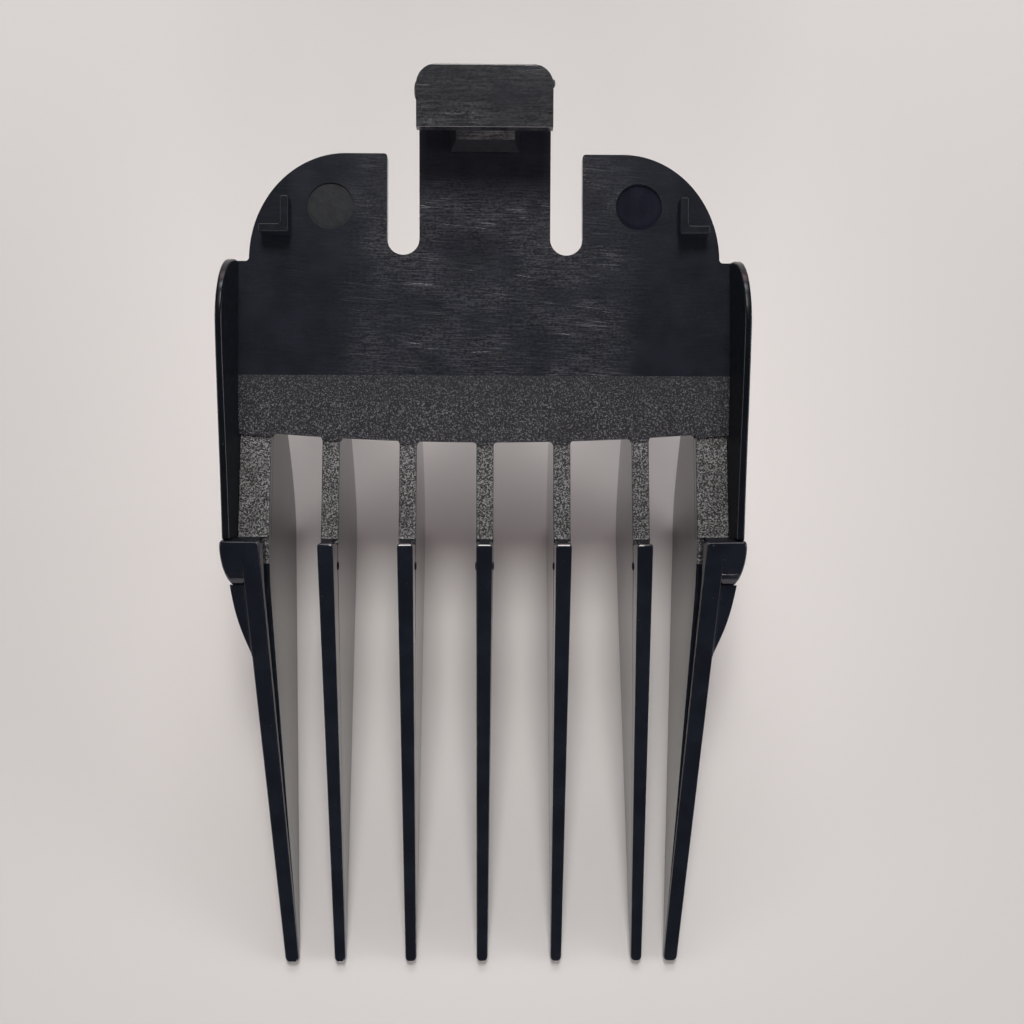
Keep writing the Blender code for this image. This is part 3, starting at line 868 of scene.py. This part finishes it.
class Shader:
    """A material's node tree, with short calls for the nodes that the plastics use."""

    def __init__(self, name):
        self.material = bpy.data.materials.new(name)
        self.material.use_nodes = True
        self.tree = self.material.node_tree
        self.surface = self.tree.nodes["Principled BSDF"]
        coordinates = self.add("ShaderNodeTexCoord")
        coordinates.object = SEAT_EMPTY
        self.seat = self.scaled(coordinates.outputs["Object"], (1 / MM, 1 / MM, 1 / MM))

    def add(self, kind, **settings):
        node = self.tree.nodes.new(kind)
        for key, value in settings.items():
            setattr(node, key, value)
        return node

    def put(self, value, socket):
        """Feeds a socket from an output, or sets it to a number."""
        if isinstance(value, bpy.types.NodeSocket):
            self.tree.links.new(value, socket)
        else:
            socket.default_value = value

    def scaled(self, vector, scale):
        return self.mapped("POINT", vector, scale, 0)

    def mapped(self, kind, vector, scale, turn_deg):
        node = self.add("ShaderNodeMapping", vector_type=kind)
        node.inputs["Rotation"].default_value = (0, 0, math.radians(turn_deg))
        node.inputs["Scale"].default_value = scale
        self.put(vector, node.inputs["Vector"])
        return node.outputs["Vector"]

    def spots(self, vector):
        """Seen from above, the distance from the middle of a spot in each cell, and the cell's number."""
        node = self.add("ShaderNodeTexVoronoi", voronoi_dimensions="2D")
        node.inputs["Scale"].default_value = 1
        self.put(vector, node.inputs["Vector"])
        return node.outputs["Distance"], node.outputs["Color"]

    def noise(self, vector, scale, detail=2.0, roughness=0.5):
        """Noise with about scale waves in each millimetre."""
        node = self.add("ShaderNodeTexNoise")
        node.inputs["Scale"].default_value = scale
        node.inputs["Detail"].default_value = detail
        node.inputs["Roughness"].default_value = roughness
        self.put(vector, node.inputs["Vector"])
        return node.outputs["Fac"]

    def warped(self, vector, scale, amount):
        """The coordinates pushed about by soft noise, so that straight marks run a little crooked."""
        node = self.add("ShaderNodeTexNoise")
        node.inputs["Scale"].default_value = scale
        node.inputs["Detail"].default_value = 1
        self.put(vector, node.inputs["Vector"])
        shift = self.vector_math("SUBTRACT", node.outputs["Color"], (0.5, 0.5, 0.5))
        shift = self.vector_math("MULTIPLY", shift, (amount, amount, amount))
        return self.vector_math("ADD", vector, shift)

    def vector_math(self, operation, first, second):
        node = self.add("ShaderNodeVectorMath", operation=operation)
        self.put(first, node.inputs[0])
        self.put(second, node.inputs[1])
        return node.outputs["Value" if operation == "LENGTH" else "Vector"]

    def maths(self, operation, first, second=0.0, clamp=False):
        node = self.add("ShaderNodeMath", operation=operation, use_clamp=clamp)
        self.put(first, node.inputs[0])
        self.put(second, node.inputs[1])
        return node.outputs["Value"]

    def ramp(self, value, low, high, to_low=0.0, to_high=1.0):
        """Maps value from low..high to to_low..to_high, smoothly and clamped."""
        node = self.add("ShaderNodeMapRange", interpolation_type="SMOOTHSTEP")
        self.put(value, node.inputs["Value"])
        node.inputs["From Min"].default_value = low
        node.inputs["From Max"].default_value = high
        node.inputs["To Min"].default_value = to_low
        node.inputs["To Max"].default_value = to_high
        return node.outputs["Result"]

    def mix(self, share, first, second):
        """A colour between first and second."""
        node = self.add("ShaderNodeMix", data_type="RGBA")
        self.put(share, node.inputs["Factor"])
        self.put(first, node.inputs[6])
        self.put(second, node.inputs[7])
        return node.outputs[2]

    def axis(self, index):
        """One coordinate of the seat frame, in millimetres."""
        node = self.add("ShaderNodeSeparateXYZ")
        self.put(self.seat, node.inputs[0])
        return node.outputs[index]

    def bump(self, height, depth, before=None):
        """A bump of the given depth in millimetres, on top of an earlier one."""
        node = self.add("ShaderNodeBump")
        node.inputs["Strength"].default_value = 1
        self.put(depth * MM, node.inputs["Distance"])
        self.put(height, node.inputs["Height"])
        if before is not None:
            self.put(before, node.inputs["Normal"])
        return node.outputs["Normal"]

    def finish(self, colour, roughness, normal, specular=0.5):
        self.put(colour, self.surface.inputs["Base Color"])
        self.put(roughness, self.surface.inputs["Roughness"])
        self.put(normal, self.surface.inputs["Normal"])
        self.surface.inputs["IOR"].default_value = 1.49
        self.surface.inputs["Specular IOR Level"].default_value = specular
        return self.material


def scratches(shader, length, width, turn_deg, seed):
    """Fine straight scratches, 0 to 1: one in some cells, length long and width wide in millimetres."""
    bowed = shader.warped(shader.seat, 0.05, 0.8)
    moved = shader.vector_math("ADD", bowed, (seed * 7.3, seed * 3.1, seed * 1.7))
    spot = 2 * SPOT_RADIUS
    cells = shader.mapped("TEXTURE", moved, (length / spot, width / spot, 1), turn_deg)
    distance, chance = shader.spots(cells)
    depth = shader.ramp(chance, 0.35, 0.9)
    return shader.maths("MULTIPLY", shader.ramp(distance, SPOT_RADIUS, 0.05), depth)


def scratch_marks(shader):
    """All the handling scratches together, 0 to 1: most run nearly straight across the comb."""
    layers = (
        scratches(shader, 8.0, 0.07, -5.0, 1),
        scratches(shader, 5.0, 0.06, -3.0, 2),
        scratches(shader, 3.0, 0.07, -7.0, 3),
        scratches(shader, 3.5, 0.06, 2.0, 4),
        scratches(shader, 16.0, 0.05, -6.0, 5),
    )
    total = layers[0]
    for layer in layers[1:]:
        total = shader.maths("MAXIMUM", total, layer)
    uneven = shader.ramp(shader.noise(shader.seat, 0.35, 2), 0.42, 0.62, 0.1, 1)
    return shader.maths("MULTIPLY", total, uneven)


def wear_and_shade_zone(shader, centre_x, half_width, soft, along):
    """Where the blade has rubbed: a stripe along the comb's middle, broken up in soft patches, faded with
    v where along is given; on the tongue that fade is partly painted shade under the lip.
    """
    off = shader.maths("ABSOLUTE", shader.maths("SUBTRACT", shader.axis(0), centre_x))
    stripe = shader.ramp(off, half_width, half_width + soft, 1, 0.12)
    cloud = shader.noise(shader.scaled(shader.seat, (0.14, 0.2, 0.2)), 1.0, 2)
    patches = shader.ramp(cloud, 0.36, 0.6, 0.4, 1)
    share = shader.maths("MULTIPLY", stripe, patches)
    if along:
        share = shader.maths("MULTIPLY", share, shader.ramp(shader.axis(1), *along))
    return share


def smooth_plastic(name, colour, roughness, specular=0.5):
    """Smooth moulded polypropylene: faint flow marks, a soft waviness and a few dust specks."""
    shader = Shader(name)
    cloud = shader.noise(shader.seat, 0.35, 3)
    flow = shader.noise(shader.scaled(shader.seat, (1.2, 0.15, 0.6)), 1.0, 2)
    lighter = tuple(c * 1.4 for c in colour[:3]) + (1,)
    tone = shader.mix(shader.ramp(cloud, 0.35, 0.7), colour, lighter)
    dust = shader.ramp(shader.noise(shader.seat, 3.4, 2, 0.7), 0.71, 0.77, 0, 0.4)
    tone = shader.mix(dust, tone, (0.10, 0.10, 0.10, 1))
    gloss = shader.ramp(flow, 0.3, 0.75, roughness - 0.03, roughness + 0.03)
    normal = shader.bump(shader.noise(shader.seat, 0.9, 2), 0.004)
    return shader.finish(tone, gloss, normal, specular)


def scratched_plastic(name, colour, roughness, zone, strength, haze_top, haze_tone, along=None):
    """The smooth plastic with the haze and the scratches that a steel blade leaves.

    zone is the worn stripe's middle, half width and soft edge; along is how the haze and scratches fade
    with v.
    """
    shader = Shader(name)
    cloud = shader.noise(shader.seat, 0.3, 3)
    lighter = tuple(c * 1.4 for c in colour[:3]) + (1,)
    tone = shader.mix(shader.ramp(cloud, 0.35, 0.7), colour, lighter)
    zone_share = wear_and_shade_zone(shader, *zone, along)
    brushed = shader.noise(shader.scaled(shader.seat, (0.5, 6.5, 0.1)), 1.0, 3, 0.65)
    rubbed = shader.noise(shader.scaled(shader.seat, (3.0, 5.0, 0.1)), 1.0, 3, 0.7)
    texture = shader.maths("MULTIPLY", shader.maths("ADD", brushed, rubbed), 0.5)
    haze = shader.maths("MULTIPLY", shader.ramp(texture, 0.40, 0.62, 0.02, haze_top), zone_share)
    marks = shader.maths("MULTIPLY", scratch_marks(shader), zone_share)
    tone = shader.mix(haze, tone, haze_tone)
    tone = shader.mix(shader.maths("MULTIPLY", marks, strength), tone, (0.24, 0.24, 0.25, 1))
    gloss = shader.maths("ADD", roughness, shader.maths("MULTIPLY", haze, 0.12))
    grooves = shader.maths("ADD", marks, shader.maths("MULTIPLY", texture, 0.6))
    normal = shader.bump(shader.noise(shader.seat, 0.7, 2), 0.005)
    normal = shader.bump(grooves, 0.006, normal)
    return shader.finish(tone, gloss, normal)


def grained_plastic(name, dark, crest_highlight, crest_from, fade=None):
    """Spark-eroded grain: close, sharp-edged pits, with highlights painted on the crests that may fade
    out along v.
    """
    shader = Shader(name)
    coarse = shader.noise(shader.seat, 5.2, 1, 0.5)
    fine = shader.noise(shader.seat, 9.5, 1, 0.5)
    height = shader.maths("MULTIPLY", coarse, 0.45)
    height = shader.maths("ADD", height, shader.maths("MULTIPLY", fine, 0.55))
    crest = shader.ramp(height, crest_from, crest_from + 0.16)
    patch = shader.ramp(shader.noise(shader.seat, 0.3, 2), 0.3, 0.7, 0.75, 1.0)
    share = shader.maths("MULTIPLY", crest, patch)
    if fade:
        share = shader.maths("MULTIPLY", share, shader.ramp(shader.axis(1), *fade))
    # painted highlight: the crests are lightened towards crest_highlight
    tone = shader.mix(share, dark, crest_highlight)
    normal = shader.bump(height, 0.06)
    return shader.finish(tone, 0.6, normal)


def matt_plastic(name, colour, roughness, specular=0.5):
    """Dull faces: an ejector pin's mark, steps, and the inner sides of the cheeks."""
    shader = Shader(name)
    cloud = shader.noise(shader.seat, 1.4, 3)
    lighter = tuple(c * 1.7 for c in colour[:3]) + (1,)
    tone = shader.mix(shader.ramp(cloud, 0.35, 0.7), colour, lighter)
    normal = shader.bump(shader.noise(shader.seat, 4.0, 2), 0.01)
    return shader.finish(tone, roughness, normal, specular)


# ---------------------------------------------------------------- floor, lights, camera


def add_floor():
    """A pale sheet under the comb, with painted shade that darkens it away from its middle."""
    bm = bmesh.new()
    bmesh.ops.create_grid(bm, x_segments=4, y_segments=4, size=FLOOR_HALF_SIZE)
    mesh = bpy.data.meshes.new("floor")
    bm.to_mesh(mesh)
    bm.free()
    floor = bpy.data.objects.new("floor", mesh)
    bpy.context.scene.collection.objects.link(floor)
    shader = Shader("pale_sheet")
    far_off = shader.vector_math("LENGTH", shader.seat, (0, 0, 0))
    near_tone = (0.775, 0.75, 0.735, 1)
    # painted shade: the sheet's tone darkens away from its middle, standing in for vignetting
    painted_vignette_tone = (0.625, 0.610, 0.603, 1)
    tone = shader.mix(shader.ramp(far_off, *FLOOR_PAINTED_FALLOFF), near_tone, painted_vignette_tone)
    normal = shader.bump(shader.noise(shader.seat, 1.5, 2), 0.002)
    mesh.materials.append(shader.finish(tone, 0.7, normal, specular=0.2))


def add_light(name, from_vertical, heading, distance, size, power, colour):
    """A soft rectangular light that faces the comb."""
    light = bpy.data.lights.new(name, "AREA")
    light.shape = "RECTANGLE"
    light.size = size[0]
    light.size_y = size[1]
    light.energy = power
    light.color = colour
    lamp = bpy.data.objects.new(name, light)
    bpy.context.scene.collection.objects.link(lamp)
    tilt = math.radians(from_vertical)
    turn = math.radians(heading)
    away = Vector((math.sin(tilt) * math.sin(turn), math.sin(tilt) * math.cos(turn), math.cos(tilt)))
    lamp.location = away * distance
    lamp.rotation_euler = away.to_track_quat("Z", "Y").to_euler()


def add_world():
    """A dim, even room."""
    world = bpy.data.worlds.new("dim_room")
    bpy.context.scene.world = world
    world.use_nodes = True
    background = world.node_tree.nodes["Background"]
    background.inputs["Color"].default_value = (1.0, 0.985, 0.97, 1)
    background.inputs["Strength"].default_value = ROOM_LIGHT


def add_camera():
    """Looks straight down on the seat; the photo leaves the height open, so that is a choice."""
    camera = bpy.data.cameras.new("camera")
    camera.sensor_width = SENSOR_MM
    camera.lens = LENS_MM
    camera.clip_start = 0.001
    holder = bpy.data.objects.new("camera", camera)
    bpy.context.scene.collection.objects.link(holder)
    turn = Euler([math.radians(a) for a in CAMERA_TURN_DEG], "XYZ").to_matrix().transposed()
    seat_turn = TO_ROW.to_3x3().normalized()
    place = TO_ROW @ Vector(CAMERA_AT)
    holder.matrix_world = Matrix.Translation(place) @ (seat_turn @ turn).to_4x4()
    bpy.context.scene.camera = holder


def set_colours():
    """Plain colour management, so that the floor's pale grey stays as lit."""
    bpy.context.scene.view_settings.view_transform = "Standard"
    bpy.context.scene.view_settings.look = "None"


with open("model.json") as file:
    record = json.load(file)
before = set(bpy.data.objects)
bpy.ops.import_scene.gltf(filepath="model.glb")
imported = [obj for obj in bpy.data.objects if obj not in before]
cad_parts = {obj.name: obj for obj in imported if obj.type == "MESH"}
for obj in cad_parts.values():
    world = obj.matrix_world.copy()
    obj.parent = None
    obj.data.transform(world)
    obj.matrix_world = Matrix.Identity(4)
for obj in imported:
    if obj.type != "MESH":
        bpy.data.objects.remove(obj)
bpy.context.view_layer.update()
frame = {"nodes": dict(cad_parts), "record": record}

TO_ROW = seat_matrix(frame["record"])
TO_SEAT = TO_ROW.inverted()

PLATE_THICKNESS = -seat_box("base_plate")[0].z
PLATE_REAR_V = seat_box("base_plate")[1].y
BAND_REAR_V = seat_box("blend_band")[1].y
CHEEK_REAR_V = seat_box("cheek_left")[1].y
SPLIT_V = seat_box("spring_tongue")[0].y - HALF_ROOT_GAP
HOOK_REAR_V = seat_box("latch_lip")[1].y
LIP_FRONT_V = seat_box("latch_lip")[0].y
LIP_TOP_W = seat_box("latch_lip")[1].z

SEAT_EMPTY = bpy.data.objects.new("seat_frame", None)
bpy.context.scene.collection.objects.link(SEAT_EMPTY)
SEAT_EMPTY.matrix_world = Matrix.Translation(TO_ROW.translation) @ TO_ROW.to_3x3().normalized().to_4x4()

HAZE = (0.058, 0.058, 0.066, 1)
satin = scratched_plastic(
    "satin_black",
    colour=(0.0102, 0.0118, 0.0172, 1),
    roughness=0.22,
    zone=(0.5, 10.5, 5.0),
    strength=0.5,
    haze_top=0.8,
    haze_tone=HAZE,
)
brushed = scratched_plastic(
    "brushed_black",
    colour=(0.0112, 0.0122, 0.0180, 1),
    roughness=0.16,
    zone=(0, 9, 2),
    strength=0.35,
    haze_top=1.0,
    haze_tone=HAZE,
    # The tongue's haze and scratches fade out towards the lip: partly less wear there, partly painted
    # shade where the lip shades the tongue
    along=(31.0, 36.0, 1, 0.12),
)
lip_black = scratched_plastic(
    "lip_black",
    colour=(0.0105, 0.0115, 0.0155, 1),
    roughness=0.2,
    zone=(0, 9, 2),
    strength=0.3,
    haze_top=1.0,
    haze_tone=(0.060, 0.061, 0.066, 1),
    # The lip's haze and scratches fade towards its rear, so the lip is lighter at its front edge and
    # darker at its rear
    along=(38.8, 41.5, 1, 0.35),
)
# The pad's top: real wear, plus a painted sheen that lightens it where the lip shades it
worn_and_sheen = scratched_plastic(
    "worn_black_painted_sheen",
    colour=(0.02, 0.02, 0.024, 1),
    roughness=0.3,
    zone=(0, 9, 2),
    strength=0.8,
    haze_top=1.0,
    haze_tone=(0.15, 0.15, 0.155, 1),
)
smooth = smooth_plastic("rib_black", (0.0074, 0.0090, 0.0140, 1), 0.08)
wall = smooth_plastic("cheek_black", (0.0042, 0.0054, 0.0078, 1), 0.22, 0.2)
dull = matt_plastic("dull_black", (0.0050, 0.0060, 0.0085, 1), 0.5, 0.08)
soft = matt_plastic("soft_black", (0.0048, 0.0060, 0.0090, 1), 0.38, 0.2)
# The band's copy of the grain has dimmer painted crest highlights, as painted shade where the band tilts
# away from the light, and they fade towards its rear
band_grain_painted_shade = grained_plastic(
    "grained_black", (0.006, 0.006, 0.0085, 1), (0.150, 0.154, 0.182, 1), 0.49, (12.5, 16.6, 1, 0.55)
)
# The tooth tops' copy of the same grain has brighter painted crest highlights: the lit copy, for tops
# that tilt towards the light
top_grain_painted_lit = grained_plastic("grained_black_tops_painted_lit", (0.006, 0.006, 0.007, 1), (0.29, 0.285, 0.29, 1), 0.45)
pin_floor = matt_plastic("pin_mark_black", (0.0085, 0.0095, 0.0125, 1), 0.36)
pin_dark = smooth_plastic("pin_mark_dark", (0.0085, 0.0095, 0.0170, 1), 0.18)

teeth = [Tooth(f"tooth_{i}") for i in range(1, 8)]
add_seat_plate(teeth, (satin, band_grain_painted_shade, pin_floor, pin_dark))
for tooth in teeth:
    add_tooth(tooth, (smooth, top_grain_painted_lit, dull))
    if not tooth.side():
        add_nubs(tooth, smooth)
for outer in (teeth[0], teeth[-1]):
    add_finger_boss(outer, (smooth, dull))
    add_gusset(outer, smooth)
for side in (LEFT, RIGHT):
    add_cheek(side, (wall, dull))
    add_locating_rib(side, soft)
add_spring_latch((brushed, lip_black))
add_latch_pad((dull, worn_and_sheen))
add_lip_flash(lip_black)

add_floor()
add_world()
for name, settings in LIGHTS.items():
    add_light(name, *settings)
add_camera()
set_colours()
